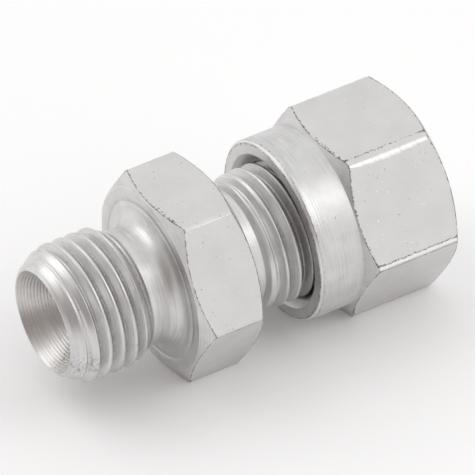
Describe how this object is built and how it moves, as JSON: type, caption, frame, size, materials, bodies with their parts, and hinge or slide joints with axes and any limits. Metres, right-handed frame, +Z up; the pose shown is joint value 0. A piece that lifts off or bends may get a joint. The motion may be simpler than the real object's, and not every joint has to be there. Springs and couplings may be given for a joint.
{
  "type": "male stud coupling",
  "caption": "Straight male stud coupling for tube: threaded stud, hexagon body, and a union nut with its cutting ring screwed part-way onto the tube end.",
  "frame": {"origin": "on the common axis of body, ring and nut, halfway between the stud's tip and the nut's end face", "axes": "+X along the axis from the stud towards the nut, where the tube comes out; +Z up, square to the flats that the fitting lies on; +Y completes the right-handed frame and points at a corner of each hexagon"},
  "size_m": [0.041, 0.0218, 0.019],
  "materials": {
    "zinc_plated_body": "turned steel with bright zinc plating, satin",
    "zinc_plated_nut": "turned steel with bright zinc plating, satin",
    "hardened_ring_steel": "hardened steel, plain"
  },
  "bodies": {
    "stud_body": {"stud_body": "zinc_plated_body"},
    "cutting_ring": {"cutting_ring": "hardened_ring_steel"},
    "union_nut": {"union_nut": "zinc_plated_nut"}
  },
  "joints": [
    {"name": "ring_travel", "type": "slide", "parent": "stud_body", "child": "cutting_ring", "axis": [1, 0, 0], "range_m": [-0.00212, 0.00353]},
    {"name": "nut_turn", "type": "hinge", "parent": "cutting_ring", "child": "union_nut", "pos_m": [0.0128, 0, 0], "axis": [1, 0, 0], "range_deg": [-540, 900]}
  ],
  "couplings": [
    {"joint": "ring_travel", "follows": "nut_turn", "m_per_rad": 0.00022457}
  ]
}
